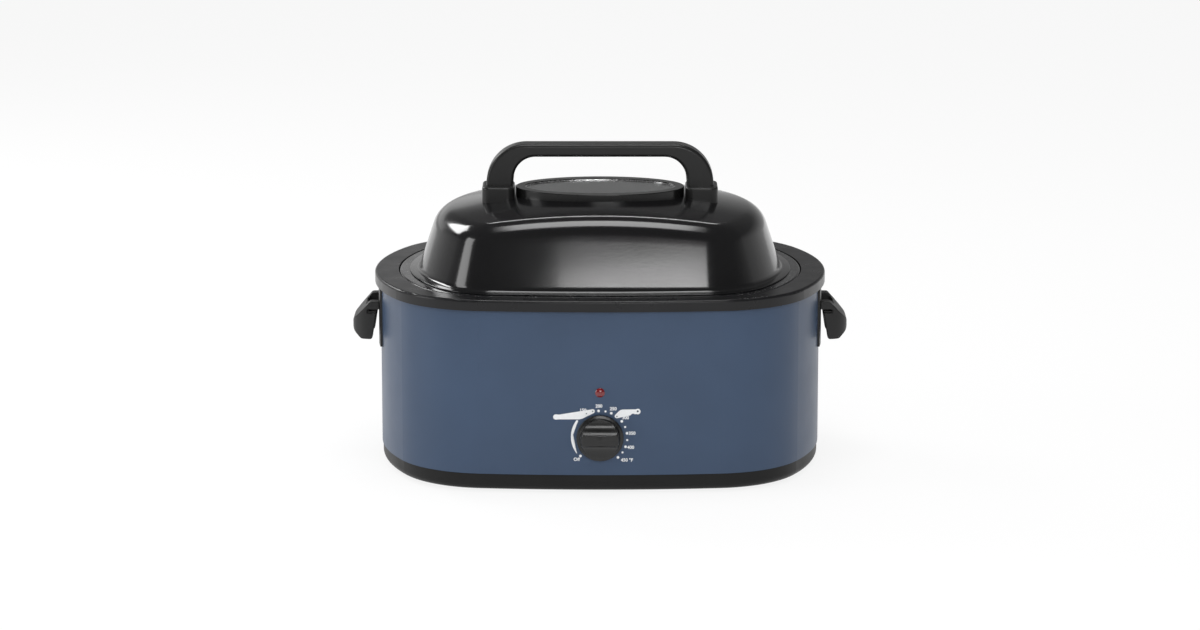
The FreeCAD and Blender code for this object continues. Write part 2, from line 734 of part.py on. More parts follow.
def roasting_rack():
    """The welded part of the rack: an outer wire, cross bars and four feet."""
    line = rack_outline()
    across = RACK_Z + RACK_WIRE_RADIUS + RACK_BAR_RADIUS / 2
    pieces = []
    inside = line.prism(0, 2 * RACK_Z)
    count = int(line.half_length / RACK_BAR_PITCH)
    for k in range(-count, count + 1):
        x = k * RACK_BAR_PITCH
        start = Vec(x, -line.half_depth, across)
        pieces.append(cylinder(RACK_BAR_RADIUS, start, Vec(x, line.half_depth, across)).common(inside))
    for side in (-1, 1):
        y = side * line.bow_y(RACK_LEG_X)
        for x in (-RACK_LEG_X, RACK_LEG_X):
            pieces.append(cylinder(RACK_LEG_RADIUS, Vec(x, y, RACK_Z - RACK_LEG), Vec(x, y, RACK_Z)))
    return rack_hoop().multiFuse(pieces)


def rack_loops():
    """An upright loop of wire at each end of the rack, which it is lifted by."""
    line = rack_outline()
    hoop = rack_hoop()
    half = RACK_LIFT_WIDTH / 2
    top = RACK_Z + RACK_LIFT_HEIGHT
    loops = []
    for side in (-1, 1):
        x = side * (line.half_length - line.end + math.sqrt(line.end ** 2 - half ** 2))
        points = [Vec(x, -half, RACK_Z), Vec(x, -half, top), Vec(x, half, top), Vec(x, half, RACK_Z)]
        loops.append(tube(points, RACK_LEG_RADIUS, RACK_LIFT_BEND).cut(hoop))
    return Part.makeCompound(loops)


def crown_block(top, radius):
    """A block with a domed top, larger than the lid each way."""
    reach = math.radians(CROWN_SPREAD_DEG)
    centre = Vec(0, 0, top - radius)

    def at(angle, distance):
        return centre + Vec(distance * math.sin(angle), 0, distance * math.cos(angle))

    edges = [
        Part.Arc(at(-reach, radius), at(0, radius), at(reach, radius)).toShape(),
        Part.makeLine(at(reach, radius), at(reach, CROWN_CORE_RADIUS)),
        Part.makeLine(at(reach, CROWN_CORE_RADIUS), at(-reach, CROWN_CORE_RADIUS)),
        Part.makeLine(at(-reach, CROWN_CORE_RADIUS), at(-reach, radius)),
    ]
    face = Part.Face(Part.Wire(edges))
    face.rotate(centre, RIGHT, -math.degrees(reach))
    return face.revolve(centre, RIGHT, 2 * math.degrees(reach))


def lid_form(outline, low, top, crown_radius, shoulder):
    """The filled shape of the lid: drawn-in walls, a rounded shoulder and a domed crown."""
    draft = math.tan(math.radians(LID_DRAFT_DEG))
    high = top + LID_FLANGE
    body = Part.makeLoft([outline.wire(low), outline.inset((high - low) * draft).wire(high)], True, True)
    body = body.common(crown_block(top, crown_radius))
    crown = max(body.Faces, key=lambda face: face.CenterOfMass.z)
    return body.makeFillet(shoulder, crown.OuterWire.Edges)


def lid_outside():
    return lid_form(LID, LID_LOW, CROWN_TOP, LID_CROWN_RADIUS, LID_SHOULDER_RADIUS)


def lid_shell():
    outside = lid_outside()
    inside = lid_form(LID.inset(LID_WALL), LID_LOW, CROWN_TOP - LID_WALL,
                      LID_CROWN_RADIUS - LID_WALL, LID_SHOULDER_RADIUS - LID_WALL)
    shell = outside.cut(inside)
    flange = LID.inset(-LID_FLANGE).prism(LID_LOW, LID_LOW + LID_WALL)
    flange = flange.cut(LID.inset(LID_WALL / 2).prism(0, 2 * LID_LOW))
    shell = shell.fuse(flange)
    opening_length = WINDOW_HALF_LENGTH + RING_GRIP
    opening_depth = WINDOW_HALF_DEPTH + RING_GRIP
    shell = shell.cut(ellipse_prism(opening_length, opening_depth, LID_LOW, 2 * CROWN_TOP))
    for x in handle_screw_places():
        start = Vec(x, 0, LID_LOW)
        shell = shell.cut(cylinder(HANDLE_SCREW_RADIUS + GAP_FIT, start, Vec(x, 0, 2 * CROWN_TOP)))
    return shell


def glass_low():
    return BEZEL_TOP - BEZEL_EDGE_RADIUS - RING_THICKNESS - GLASS_THICKNESS


def window_gasket():
    grow = GLASS_OVERLAP + RING_GRIP
    ring = ellipse_prism(WINDOW_HALF_LENGTH + grow, WINDOW_HALF_DEPTH + grow, LID_LOW, glass_low())
    ring = ring.cut(ellipse_prism(WINDOW_HALF_LENGTH, WINDOW_HALF_DEPTH, 0, 2 * CROWN_TOP))
    return ring.cut(lid_outside())


def window_glass():
    low = glass_low()
    grow = GLASS_OVERLAP
    return ellipse_prism(WINDOW_HALF_LENGTH + grow, WINDOW_HALF_DEPTH + grow, low, low + GLASS_THICKNESS)


def window_ring():
    low = glass_low() + GLASS_THICKNESS
    high = low + RING_THICKNESS
    outer = ellipse_prism(WINDOW_HALF_LENGTH + RING_GRIP, WINDOW_HALF_DEPTH + RING_GRIP, low, high)
    show = RING_SHOW
    return outer.cut(ellipse_prism(WINDOW_HALF_LENGTH - show, WINDOW_HALF_DEPTH - show, 0, 2 * low))


def window_bezel():
    glass_top = glass_low() + GLASS_THICKNESS
    ring_top = glass_top + RING_THICKNESS
    half_length = WINDOW_HALF_LENGTH + BEZEL_WIDTH_END
    half_depth = WINDOW_HALF_DEPTH + BEZEL_WIDTH_FRONT
    bezel = ellipse_prism(half_length, half_depth, LID_LOW, BEZEL_TOP)
    bezel = bezel.cut(ellipse_prism(WINDOW_HALF_LENGTH, WINDOW_HALF_DEPTH, 0, 2 * BEZEL_TOP))
    bezel = round_edges(bezel, BEZEL_FILLET, lambda edge: middle_of(edge).z > BEZEL_TOP - NEAR)
    steps = [(RING_GRIP, ring_top), (GLASS_OVERLAP + RING_GRIP, glass_low()), (GLASS_OVERLAP, glass_top)]
    for grow, high in steps:
        bezel = bezel.cut(ellipse_prism(WINDOW_HALF_LENGTH + grow, WINDOW_HALF_DEPTH + grow, 0, high))
    return bezel.cut(lid_outside())


def handle_screw_places():
    x = HANDLE_FOOT - HANDLE_LEG_FOOT / 2
    return (-x, x)


def crown_height(x, y):
    """Height of the lid's crown at a place."""
    return CROWN_TOP - LID_CROWN_RADIUS + math.sqrt(LID_CROWN_RADIUS ** 2 - x ** 2 - y ** 2)


def shoe_top():
    return crown_height(HANDLE_FOOT, SHOE_DEPTH / 2) + SHOE_HEIGHT


def lid_handle():
    low = shoe_top()
    under = HANDLE_TOP - HANDLE_BAR
    foot = HANDLE_FOOT
    top = HANDLE_SHOULDER
    loop = rounded_loop([
        (-foot, low, 0),
        (-top, HANDLE_TOP, HANDLE_OUTER_RADIUS),
        (top, HANDLE_TOP, HANDLE_OUTER_RADIUS),
        (foot, low, 0),
        (foot - HANDLE_LEG_FOOT, low, 0),
        (top - HANDLE_LEG_TOP, under, HANDLE_INNER_RADIUS),
        (HANDLE_LEG_TOP - top, under, HANDLE_INNER_RADIUS),
        (HANDLE_LEG_FOOT - foot, low, 0),
    ], lambda x, z: Vec(x, -HANDLE_DEPTH / 2, z))
    grip = Part.Face(loop).extrude(BACK * HANDLE_DEPTH)

    def on_a_side(edge):
        middle = middle_of(edge)
        return abs(abs(middle.y) - HANDLE_DEPTH / 2) < NEAR and middle.z > low + NEAR

    grip = round_edges(grip, HANDLE_EDGE_RADIUS, on_a_side)
    for x in handle_screw_places():
        grip = grip.cut(cylinder(HANDLE_SCREW_RADIUS, Vec(x, 0, 0), Vec(x, 0, handle_screw_top())))
    return grip


def handle_screw_top():
    return shoe_top() + HANDLE_SCREW_REACH


def lid_handle_shoe(side):
    """The foot between a handle leg and the crown, cut to the crown underneath."""
    middle = side * (SHOE_INNER + SHOE_LENGTH / 2)
    top = shoe_top()
    half_x = SHOE_LENGTH / 2
    half_y = SHOE_DEPTH / 2
    outline = rounded_loop([
        (middle - half_x, -half_y, SHOE_CORNER_RADIUS),
        (middle + half_x, -half_y, SHOE_CORNER_RADIUS),
        (middle + half_x, half_y, SHOE_CORNER_RADIUS),
        (middle - half_x, half_y, SHOE_CORNER_RADIUS),
    ], lambda x, y: Vec(x, y, top - SHOE_SKIRT))
    shoe = Part.Face(outline).extrude(UP * SHOE_SKIRT)
    shoe = round_edges(shoe, SHOE_EDGE_RADIUS, lambda edge: middle_of(edge).z > top - NEAR)
    shoe = shoe.cut(lid_outside())
    x = side * abs(handle_screw_places()[0])
    return shoe.cut(cylinder(HANDLE_SCREW_RADIUS + GAP_FIT, Vec(x, 0, 0), Vec(x, 0, 2 * top)))


def handle_seat(x):
    """Height of the inside of the crown, at the lowest point under a washer."""
    inside = LID_CROWN_RADIUS - LID_WALL
    far = abs(x) + HANDLE_WASHER_RADIUS
    return CROWN_TOP - LID_CROWN_RADIUS + math.sqrt(inside ** 2 - far ** 2)


def lid_handle_washers():
    washers = []
    for x in handle_screw_places():
        z = handle_seat(x)
        washer = cylinder(HANDLE_WASHER_RADIUS, Vec(x, 0, z - HANDLE_WASHER), Vec(x, 0, z))
        washers.append(washer.cut(cylinder(HANDLE_SCREW_RADIUS, Vec(x, 0, 0), Vec(x, 0, 2 * z))))
    return Part.makeCompound(washers)


def lid_handle_screws():
    screws = []
    for x in handle_screw_places():
        z = handle_seat(x) - HANDLE_WASHER
        head = cylinder(HANDLE_SCREW_HEAD_RADIUS, Vec(x, 0, z - HANDLE_SCREW_HEAD), Vec(x, 0, z))
        screws.append(head.fuse(cylinder(HANDLE_SCREW_RADIUS, Vec(x, 0, z), Vec(x, 0, handle_screw_top()))))
    return Part.makeCompound(screws)


def side_screw_places():
    z = RIM_LOW - GRIP_DROP - GRIP_ROOT / 2
    y = (GRIP_WIDTH - GRIP_ARM) / 2
    return [(-y, z), (y, z)]


def shell_end_x(y):
    """Where the outside of the shell's end lies, at a place across its depth."""
    return SHELL.half_length - SHELL.end + math.sqrt(SHELL.end ** 2 - y ** 2)


def side_handle_plate():
    """Plate on the right end of the shell, bent to it, which the grip is screwed against."""
    top = RIM_LOW - PLATE_DROP
    low = top - PLATE_HEIGHT
    hug = SHELL.inset(-PLATE_WALL).prism(low, top).cut(SHELL.prism(0, 2 * RIM_TOP))
    window = block(2 * GRIP_REACH, PLATE_WIDTH, 4 * PLATE_HEIGHT, Vec(SHELL.half_length, 0, low))
    plate = hug.common(window)
    for y, z in side_screw_places():
        plate = plate.cut(cylinder(SIDE_SCREW_RADIUS + GAP_FIT, Vec(0, y, z), Vec(RIM_LENGTH, y, z)))
    return plate


def side_handle_grip():
    """Moulded loop on the right end: arms that slope down to a bar, with room for the fingers inside."""
    root = SHELL.half_length + PLATE_WALL
    far = SHELL.half_length + GRIP_REACH
    high = RIM_LOW - GRIP_DROP
    low = high - GRIP_HEIGHT
    slot_low = high - GRIP_ROOT - GRIP_SLOT
    side = rounded_loop([
        (root - GRIP_ARM, high, 0),
        (root + GRIP_ROOT, high, GRIP_ROOT / 2),
        (far, high - GRIP_SLOPE + GRIP_ROOT / 2, GRIP_ROOT),
        (far, low + GRIP_ROOT, GRIP_ROOT),
        (far - GRIP_FOOT, low, GRIP_ROOT / 2),
        (root + GRIP_HEEL_OUT, low, GRIP_ROOT / 3),
        (root + GRIP_HEEL_IN, slot_low, 0),
        (root + GRIP_SLOT_REACH, slot_low, 0),
        (root + GRIP_SLOT_REACH, slot_low + GRIP_SLOT, 0),
        (root - GRIP_ARM, slot_low + GRIP_SLOT, 0),
    ], lambda x, z: Vec(x, -GRIP_WIDTH / 2, z))
    grip = Part.Face(side).extrude(BACK * GRIP_WIDTH)
    half = GRIP_WIDTH / 2
    plan = rounded_loop([
        (root - 2 * GRIP_ARM, -half, 0),
        (far, -half, GRIP_CORNER_RADIUS),
        (far, half, GRIP_CORNER_RADIUS),
        (root - 2 * GRIP_ARM, half, 0),
    ], lambda x, y: Vec(x, y, low))
    grip = grip.common(Part.Face(plan).extrude(UP * GRIP_HEIGHT))
    hole_half = half - GRIP_ARM
    hole = rounded_loop([
        (root - 2 * GRIP_ARM, -hole_half, 0),
        (far - GRIP_BAR, -hole_half, GRIP_HOLE_RADIUS),
        (far - GRIP_BAR, hole_half, GRIP_HOLE_RADIUS),
        (root - 2 * GRIP_ARM, hole_half, 0),
    ], lambda x, y: Vec(x, y, low - GRIP_ROOT))
    grip = grip.cut(Part.Face(hole).extrude(UP * 2 * GRIP_HEIGHT))
    grip = grip.cut(SHELL.inset(-PLATE_WALL).prism(0, 2 * RIM_TOP))
    for y, z in side_screw_places():
        stop = Vec(shell_end_x(y) + PLATE_WALL + SIDE_SCREW_REACH, y, z)
        grip = grip.cut(cylinder(SIDE_SCREW_RADIUS, Vec(0, y, z), stop))
    return grip


def side_handle_screws():
    screws = []
    inside = SHELL.inset(SHELL_WALL)
    for y, z in side_screw_places():
        far = abs(y) + SIDE_SCREW_HEAD_RADIUS
        seat = inside.half_length - inside.end + math.sqrt(inside.end ** 2 - far ** 2)
        tip = shell_end_x(y) + PLATE_WALL + SIDE_SCREW_REACH
        head = cylinder(SIDE_SCREW_HEAD_RADIUS, Vec(seat - SIDE_SCREW_HEAD, y, z), Vec(seat, y, z))
        screw = head.fuse(cylinder(SIDE_SCREW_RADIUS, Vec(seat, y, z), Vec(tip, y, z)))
        screws.extend([screw, mirrored(screw)])
    return Part.makeCompound(screws)


def front_point(forward, x, z):
    """A point in front of the shell's face by a distance."""
    return Vec(x, SHELL_FRONT - forward, z)


def thermostat_body():
    seat = front_point(-SHELL_WALL - GAP_SHAFT, 0, DIAL_Z)
    body_front = seat + BACK * THERMOSTAT_STANDOFF
    middle = body_front + BACK * (THERMOSTAT_DEPTH / 2)
    body = block(THERMOSTAT_WIDTH, THERMOSTAT_DEPTH, THERMOSTAT_HEIGHT, middle)
    collar = cylinder(COLLAR_RADIUS, body_front, seat)
    bushing = cylinder(BUSHING_RADIUS, seat, front_point(BUSHING_REACH, 0, DIAL_Z))
    body = body.fuse([collar, bushing])
    bore_end = body_front + BACK * (SHAFT_TAIL + GAP_LIFT)
    return body.cut(cylinder(SHAFT_RADIUS + GAP_SHAFT, front_point(2 * KNOB_DEPTH, 0, DIAL_Z), bore_end))


def thermostat_nut():
    start = front_point(GAP_SHAFT, 0, DIAL_Z)
    stop = front_point(GAP_SHAFT + NUT_THICKNESS, 0, DIAL_Z)
    return hexagon(NUT_ACROSS, start, stop).cut(cylinder(BUSHING_RADIUS, start + BACK, stop + FRONT))


def thermostat_bracket():
    """Aluminium strap that carries the thermostat's back and feels the heat of the well's floor."""
    back = SHELL_INNER_FRONT + GAP_SHAFT + THERMOSTAT_STANDOFF + THERMOSTAT_DEPTH
    top = WELL_FLOOR - WELL_WALL
    upright = Part.makeBox(BRACKET_WIDTH, BRACKET_WALL, top - DIAL_Z + THERMOSTAT_HEIGHT / 2,
                           Vec(-BRACKET_WIDTH / 2, back, DIAL_Z - THERMOSTAT_HEIGHT / 2))
    corner = Vec(-BRACKET_WIDTH / 2, back, top - BRACKET_WALL)
    foot = Part.makeBox(BRACKET_WIDTH, BRACKET_FOOT, BRACKET_WALL, corner)
    return upright.fuse(foot).removeSplitter()


def shaft_tip():
    return front_point(KNOB_GAP + KNOB_HOLLOW + SHAFT_GRIP, 0, DIAL_Z)


def thermostat_shaft():
    tail = front_point(-SHELL_WALL - GAP_SHAFT, 0, DIAL_Z) + BACK * (THERMOSTAT_STANDOFF + SHAFT_TAIL)
    shaft = cylinder(SHAFT_RADIUS, tail, shaft_tip())
    flat_low = DIAL_Z + SHAFT_RADIUS - SHAFT_FLAT
    flat_back = shaft_tip().y + SHAFT_GRIP
    corner = Vec(-2 * SHAFT_RADIUS, flat_back - SHAFT_GRIP, flat_low)
    flat = Part.makeBox(4 * SHAFT_RADIUS, SHAFT_GRIP, SHAFT_RADIUS, corner)
    return shaft.cut(flat)


def knob_clip():
    """Leaf of spring steel on the shaft's flat, which holds the knob on."""
    low = DIAL_Z + SHAFT_RADIUS - SHAFT_FLAT + GAP_SHAFT
    length = SHAFT_GRIP - 2 * GAP_LIFT
    return Part.makeBox(CLIP_WIDTH, length, CLIP_WALL, Vec(-CLIP_WIDTH / 2, shaft_tip().y + GAP_LIFT, low))


def control_knob():
    """Dial knob with a wide skirt, a domed cap and one ridge to grip, between two scooped sides."""
    section = rounded_loop([
        (0, 0, 0),
        (KNOB_SKIRT_RADIUS, 0, 0),
        (KNOB_SKIRT_RADIUS, KNOB_SKIRT, KNOB_RIM_RADIUS),
        (KNOB_CAP_RADIUS, KNOB_SKIRT + KNOB_RIM_RADIUS, KNOB_RIM_RADIUS),
        (KNOB_CROWN_EDGE, KNOB_CROWN_RISE, KNOB_CROWN_RADIUS),
        (KNOB_RIM_RADIUS, KNOB_DEPTH, 0),
        (0, KNOB_DEPTH, 0),
    ], lambda r, out: Vec(r, SHELL_FRONT - KNOB_GAP - out, DIAL_Z))
    centre = Vec(0, SHELL_FRONT - KNOB_GAP, DIAL_Z)
    knob = Part.Face(section).revolve(centre, BACK, 360)
    out = centre + FRONT * (KNOB_SCOOP_FLOOR + KNOB_SCOOP_RADIUS)
    for side in (-1, 1):
        middle = out + UP * (side * (KNOB_RIDGE / 2 + KNOB_SCOOP_RADIUS))
        start = middle - RIGHT * KNOB_SKIRT_RADIUS
        knob = knob.cut(cylinder(KNOB_SCOOP_RADIUS, start, middle + RIGHT * KNOB_SKIRT_RADIUS))
    hollow = cylinder(KNOB_HOLLOW_RADIUS, centre, centre + FRONT * KNOB_HOLLOW)
    knob = knob.cut(hollow)
    bore = cylinder(SHAFT_RADIUS + GAP_SHAFT, centre, shaft_tip() + FRONT * GAP_LIFT)
    return knob.cut(bore)


def indicator_lens():
    face = front_point(GAP_SHAFT, 0, LAMP_Z)
    rim = cylinder(LENS_RADIUS, face, face + FRONT * LENS_FLANGE)
    flare = LENS_RISE - LENS_FLANGE
    sphere_radius = (LENS_RADIUS ** 2 + flare ** 2) / (2 * flare)
    ball = Part.makeSphere(sphere_radius, face + FRONT * (LENS_RISE - sphere_radius))
    dome = ball.common(cylinder(LENS_RADIUS, face + FRONT * LENS_FLANGE, face + FRONT * (2 * LENS_RISE)))
    stem = cylinder(LENS_STEM_RADIUS, face + BACK * LENS_STEM, face)
    lens = rim.fuse([dome, stem])
    return lens.cut(cylinder(LAMP_RADIUS + GAP_SHAFT, face + BACK * LENS_STEM, face + BACK * GAP_LIFT))


def indicator_lamp():
    face = front_point(GAP_SHAFT - 2 * GAP_LIFT, 0, LAMP_Z)
    return cylinder(LAMP_RADIUS, face, face + BACK * LAMP_LENGTH)


def lamp_retainer():
    """Spring washer pushed over the lens's stem from inside."""
    seat = front_point(-SHELL_WALL - GAP_SHAFT, 0, LAMP_Z)
    washer = cylinder(LAMP_NUT_RADIUS, seat, seat + BACK * LAMP_NUT)
    return washer.cut(cylinder(LENS_STEM_RADIUS, seat + FRONT, seat + BACK * 2 * LAMP_NUT))


def cord_gland():
    wall_out = Vec(0, -SHELL_FRONT + GAP_SHAFT, GLAND_Z)
    flange = hexagon(GLAND_HEX_ACROSS, wall_out, wall_out + BACK * GLAND_FLANGE)
    nose_radius = GLAND_BORE_RADIUS + GLAND_NOSE_WALL
    nose_length = GLAND_REACH - GLAND_FLANGE
    nose = Part.makeCone(GLAND_BODY_RADIUS, nose_radius, nose_length, wall_out + BACK * GLAND_FLANGE, BACK)
    body = cylinder(GLAND_BODY_RADIUS, wall_out + FRONT * GLAND_INSIDE, wall_out)
    gland = flange.fuse([nose, body])
    start = wall_out + FRONT * (2 * GLAND_INSIDE)
    return gland.cut(cylinder(GLAND_BORE_RADIUS, start, wall_out + BACK * (2 * GLAND_REACH)))


def gland_nut():
    seat = Vec(0, -SHELL_FRONT - SHELL_WALL - GAP_SHAFT, GLAND_Z)
    nut = hexagon(GLAND_HEX_ACROSS, seat + FRONT * GLAND_NUT, seat)
    return nut.cut(cylinder(GLAND_BODY_RADIUS, seat + FRONT * (2 * GLAND_NUT), seat + BACK))


def block_centre():
    return Vec(0, -SHELL_FRONT - BLOCK_FROM_WALL - BLOCK_DEPTH / 2, BASE_FLOOR + BLOCK_HEIGHT / 2)


def terminal_block():
    centre = block_centre()
    body = block(BLOCK_LENGTH, BLOCK_DEPTH, BLOCK_HEIGHT, centre)
    pitch = BLOCK_LENGTH / BLOCK_SCREWS
    for k in range(BLOCK_SCREWS):
        top = centre + Vec((k - (BLOCK_SCREWS - 1) / 2) * pitch, 0, BLOCK_HEIGHT / 2)
        body = body.cut(cylinder(BLOCK_SCREW_RADIUS, top - UP * BLOCK_SCREW_DEPTH, top + UP))
    return body


def inner_wires():
    """Leads held inside the base: from the block to the thermostat, and on to the band's studs."""
    start_y = block_centre().y - BLOCK_DEPTH / 2
    thermostat_back = SHELL_INNER_FRONT + GAP_SHAFT + THERMOSTAT_STANDOFF + THERMOSTAT_DEPTH
    side_face = THERMOSTAT_WIDTH / 2
    wires = []
    for side in (-1, 1):
        x = side * WIRE_SPREAD
        far = side * (side_face + WIRE_ASIDE)
        z = block_centre().z
        entry_y = thermostat_back - WIRE_ENTRY_LOW
        wires.append(tube([
            Vec(x, start_y, z),
            Vec(x, start_y - WIRE_RUN, z),
            Vec(far, start_y - WIRE_SLANT, z),
            Vec(far, entry_y, z),
            Vec(far, entry_y, DIAL_Z - WIRE_SPREAD / 2),
            Vec(side * side_face, entry_y, DIAL_Z - WIRE_SPREAD / 2),
        ], WIRE_RADIUS, WIRE_BEND_LOW))
    face = WELL.inset(-WELL_WALL - GAP_FIT - BAND_WALL)
    for side in (-1, 1):
        stud_x = side * STUD_SPACING / 2
        stud_y = -face.bow_y(stud_x) - STUD_BASE - STUD_LENGTH / 2
        bottom = DIAL_Z + WIRE_SPREAD / 2
        entry_y = thermostat_back - WIRE_ENTRY_HIGH
        outer = side * (side_face + WIRE_ASIDE)
        wires.append(tube([
            Vec(side * side_face, entry_y, bottom),
            Vec(outer, entry_y, bottom),
            Vec(outer, entry_y, bottom + WIRE_RISE),
            Vec(stud_x, stud_y, bottom + WIRE_CLIMB),
            Vec(stud_x, stud_y, STUD_Z - STUD_RADIUS),
        ], WIRE_RADIUS, WIRE_BEND_HIGH))
    return Part.makeCompound(wires)


PIECES = {
    "outer_shell": outer_shell,
    "top_rim": top_rim,
    "base_tray": base_tray,
    "feet": feet,
    "base_screws": base_screws,
    "heating_well": heating_well,
    "heating_band": heating_band,
    "band_terminals": band_terminals,
    "insulation_blanket": insulation_blanket,
    "support_posts": support_posts,
    "heat_shield": heat_shield,
    "tie_screws": tie_screws,
    "roasting_pan": roasting_pan,
    "roasting_rack": roasting_rack,
    "rack_loops": rack_loops,
    "lid_shell": lid_shell,
    "window_gasket": window_gasket,
    "window_glass": window_glass,
    "window_ring": window_ring,
    "window_bezel": window_bezel,
    "lid_handle": lid_handle,
    "lid_handle_shoe_left": lambda: lid_handle_shoe(-1),
    "lid_handle_shoe_right": lambda: lid_handle_shoe(1),
    "lid_handle_washers": lid_handle_washers,
    "lid_handle_screws": lid_handle_screws,
    "side_handle_plate_left": lambda: mirrored(side_handle_plate()),
    "side_handle_plate_right": side_handle_plate,
    "side_handle_grip_left": lambda: mirrored(side_handle_grip()),
    "side_handle_grip_right": side_handle_grip,
    "side_handle_screws": side_handle_screws,
    "thermostat_body": thermostat_body,
    "thermostat_nut": thermostat_nut,
    "thermostat_bracket": thermostat_bracket,
    "thermostat_shaft": thermostat_shaft,
    "knob_clip": knob_clip,
    "control_knob": control_knob,
    "indicator_lens": indicator_lens,
    "indicator_lamp": indicator_lamp,
    "lamp_retainer": lamp_retainer,
    "cord_gland": cord_gland,
    "gland_nut": gland_nut,
    "terminal_block": terminal_block,
    "inner_wires": inner_wires,
}

os.makedirs("parts", exist_ok=True)
for name, make in PIECES.items():
    shape = make()
    solids = len(shape.Solids)
    print(f"{name}: {solids} solid(s), {shape.Volume / 1000:.1f} cm3, valid {shape.isValid()}")
    shape.exportStep(f"parts/{name}.step")
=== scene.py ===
"""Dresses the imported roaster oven: finishes, fine pieces, dial marks, light and camera.

Helpers take millimetres in the model's own axes. Meshes are made in metres.
"""
import bpy
import bmesh
import json
import math
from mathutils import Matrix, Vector

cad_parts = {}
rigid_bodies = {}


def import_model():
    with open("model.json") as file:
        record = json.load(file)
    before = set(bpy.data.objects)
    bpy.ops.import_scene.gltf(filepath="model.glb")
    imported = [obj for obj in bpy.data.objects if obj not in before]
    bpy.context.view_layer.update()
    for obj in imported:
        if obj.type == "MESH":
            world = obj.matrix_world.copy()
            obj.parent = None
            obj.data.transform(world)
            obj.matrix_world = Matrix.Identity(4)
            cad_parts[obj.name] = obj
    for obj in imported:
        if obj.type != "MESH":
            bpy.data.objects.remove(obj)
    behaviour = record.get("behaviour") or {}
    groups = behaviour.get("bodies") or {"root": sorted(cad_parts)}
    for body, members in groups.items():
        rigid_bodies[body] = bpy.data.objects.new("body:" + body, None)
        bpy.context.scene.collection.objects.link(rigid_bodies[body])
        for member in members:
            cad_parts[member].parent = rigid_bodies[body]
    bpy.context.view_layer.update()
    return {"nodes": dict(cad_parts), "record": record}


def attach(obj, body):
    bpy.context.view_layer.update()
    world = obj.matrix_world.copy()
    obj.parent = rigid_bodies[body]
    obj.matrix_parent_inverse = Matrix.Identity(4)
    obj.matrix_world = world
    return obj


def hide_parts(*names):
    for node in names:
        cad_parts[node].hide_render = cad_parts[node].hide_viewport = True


for leftover in list(bpy.data.objects):
    bpy.data.objects.remove(leftover)
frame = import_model()
MM = 0.001

# Sizes repeated from the model, in millimetres
RIM_OUTLINE = (260.0, 195.8, 1322.0, 274.0, 119.0)
RIM_OVERHANG = 6.4
LID_OUTLINE = (209.6, 158.4, 1284.6, 223.6, 75.1)
LID_LOW = 222.9
CROWN_TOP = 312.5
CROWN_RADIUS = 850.0
LID_WALL = 1.2
LID_DRAFT = math.radians(18.5)
SHOULDER_RADIUS = 29.0
LID_FLANGE = 10.0
LID_MOUTH = (89.0, 49.5)
LID_FOOT_RADIUS = 2.2
DIAL_Z = 65.5

# Edges sharper than this stay sharp, and CAD copies are eased at these sizes
SHARP_EDGE_DEG = 35
KNOB_VOXEL = 0.35
GRIP_VOXEL = 0.7
EASING_PASSES = 4
EASING_SHARE = 0.5

# Camera at the photograph's viewing angle, fitted to the rim and the shell
CAMERA_PLACE = (0, -4.581, 1.140)
CAMERA_TILT_DEG = 77.99
CAMERA_LENS = 121.05
SENSOR_WIDTH = 36

# Stage: how much of the floor's white is its own for rays that see the backdrop, and the room's strengths
FLOOR_SIDE = 16
FLOOR_WHITE_SHARE = 0.86
ROOM_LIGHT = 0.55
ROOM_AT_HORIZON = 0.45
ROOM_OVERHEAD = 0.10


class Oval:
    """The model's oval: a front and a back bow, two ends and four corners, sampled all round."""

    END_STEPS = 22
    CORNER_STEPS = 22
    BOW_STEPS = 30

    def __init__(self, half_length, half_depth, bow, end, corner):
        self.half_length = half_length
        self.half_depth = half_depth
        self.bow = bow
        self.end = end
        self.corner = corner

    def inset(self, distance):
        return Oval(self.half_length - distance, self.half_depth - distance, self.bow - distance,
                    self.end - distance, self.corner - distance)

    def corner_centre(self):
        bow_centre = Vector((0, self.half_depth - self.bow))
        end_centre = Vector((self.half_length - self.end, 0))
        from_bow = self.bow - self.corner
        from_end = self.end - self.corner
        between = end_centre - bow_centre
        along = (from_bow ** 2 - from_end ** 2 + between.length ** 2) / (2 * between.length)
        across = math.sqrt(from_bow ** 2 - along ** 2)
        forward = between.normalized()
        sideways = Vector((forward.y, -forward.x))
        return bow_centre + forward * along + sideways * across

    def samples(self):
        """Places on the outline with their outward directions, as (x, y, nx, ny)."""
        c = self.corner_centre()
        end_x = self.half_length - self.end
        bow_y = self.half_depth - self.bow
        low = math.atan2(c.y, c.x - end_x)
        high = math.atan2(c.y - bow_y, c.x)
        turn = math.pi
        arcs = [
            ((end_x, 0), self.end, -low, low, self.END_STEPS),
            ((c.x, c.y), self.corner, low, high, self.CORNER_STEPS),
            ((0, bow_y), self.bow, high, turn - high, self.BOW_STEPS),
            ((-c.x, c.y), self.corner, turn - high, turn - low, self.CORNER_STEPS),
            ((-end_x, 0), self.end, turn - low, turn + low, self.END_STEPS),
            ((-c.x, -c.y), self.corner, turn + low, turn + high, self.CORNER_STEPS),
            ((0, -bow_y), self.bow, turn + high, 2 * turn - high, self.BOW_STEPS),
            ((c.x, -c.y), self.corner, 2 * turn - high, 2 * turn - low, self.CORNER_STEPS),
        ]
        places = []
        for (cx, cy), radius, first, last, steps in arcs:
            for k in range(steps):
                angle = first + (last - first) * k / steps
                nx, ny = math.cos(angle), math.sin(angle)
                places.append((cx + radius * nx, cy + radius * ny, nx, ny))
        return places

    def ring(self, inset, z):
        return [(x - inset * nx, y - inset * ny, z) for x, y, nx, ny in self.samples()]


